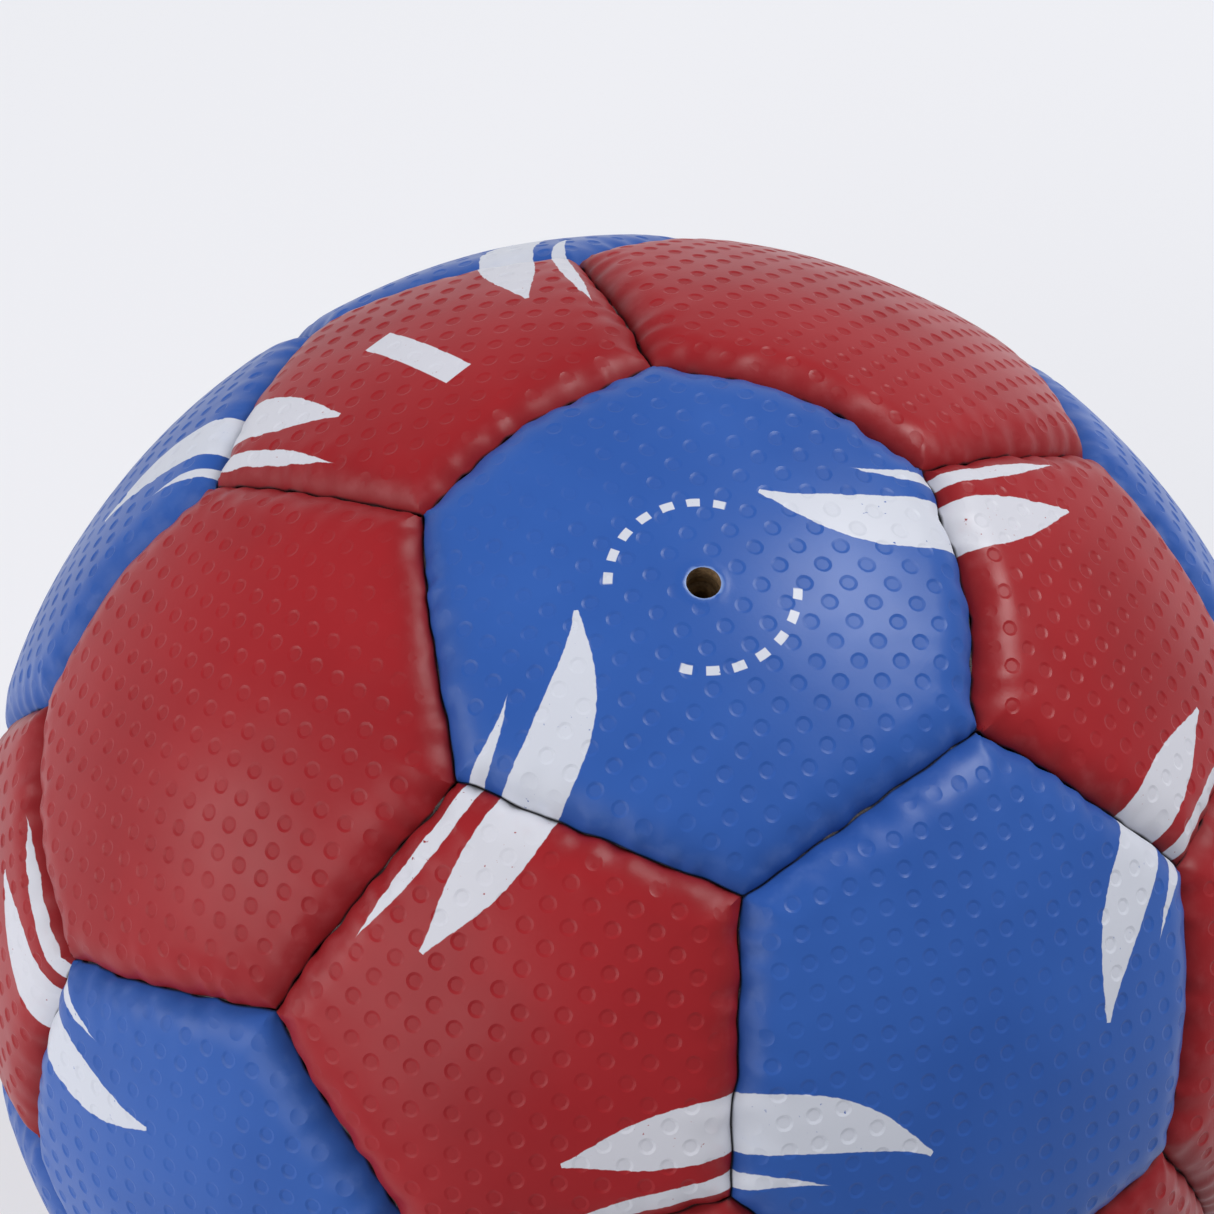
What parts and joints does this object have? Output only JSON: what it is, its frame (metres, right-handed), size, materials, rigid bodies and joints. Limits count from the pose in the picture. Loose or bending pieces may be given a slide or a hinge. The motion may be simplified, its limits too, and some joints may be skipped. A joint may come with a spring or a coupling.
{
  "type": "handball",
  "caption": "Hand-sewn handball of red and blue dimpled pentagon and hexagon panels over foam, lining and an inflatable bladder with a needle valve.",
  "frame": {"origin": "middle of the ball", "axes": "+Z out through the needle hole, +X towards the middle of the red pentagon that borders the valve panel on that side"},
  "size_m": [0.1618, 0.161, 0.1623],
  "materials": {
    "cover_red": "satin grained polyurethane",
    "cover_blue": "satin grained polyurethane",
    "foam": "matt closed-cell foam",
    "lining": "woven cotton and polyester",
    "thread": "waxed twine",
    "bladder": "matt latex",
    "valve_rubber": "matt moulded rubber"
  },
  "bodies": {
    "ball": {"valve_panel": "cover_blue", "red_pentagon_01": "cover_red", "red_pentagon_02": "cover_red", "red_pentagon_03": "cover_red", "red_pentagon_04": "cover_red", "red_pentagon_05": "cover_red", "red_pentagon_06": "cover_red", "red_pentagon_07": "cover_red", "red_pentagon_08": "cover_red", "red_pentagon_09": "cover_red", "red_pentagon_10": "cover_red", "red_pentagon_11": "cover_red", "red_pentagon_12": "cover_red", "red_hexagon_01": "cover_red", "red_hexagon_02": "cover_red", "red_hexagon_03": "cover_red", "red_hexagon_04": "cover_red", "red_hexagon_05": "cover_red", "red_hexagon_06": "cover_red", "red_hexagon_07": "cover_red", "red_hexagon_08": "cover_red", "blue_hexagon_01": "cover_blue", "blue_hexagon_02": "cover_blue", "blue_hexagon_03": "cover_blue", "blue_hexagon_04": "cover_blue", "blue_hexagon_05": "cover_blue", "blue_hexagon_06": "cover_blue", "blue_hexagon_07": "cover_blue", "blue_hexagon_08": "cover_blue", "blue_hexagon_09": "cover_blue", "blue_hexagon_10": "cover_blue", "blue_hexagon_11": "cover_blue", "pentagon_foam": "foam", "hexagon_foam": "foam", "valve_foam": "foam", "pentagon_lining": "lining", "hexagon_lining": "lining", "valve_lining": "lining", "seam_thread": "thread", "bladder": "bladder", "valve_body": "valve_rubber"},
    "valve_core": {"valve_core": "valve_rubber"}
  },
  "joints": [
    {"name": "valve_core_pull", "type": "slide", "parent": "ball", "child": "valve_core", "axis": [0, 0, 1], "range_m": [0, 0.02]}
  ]
}
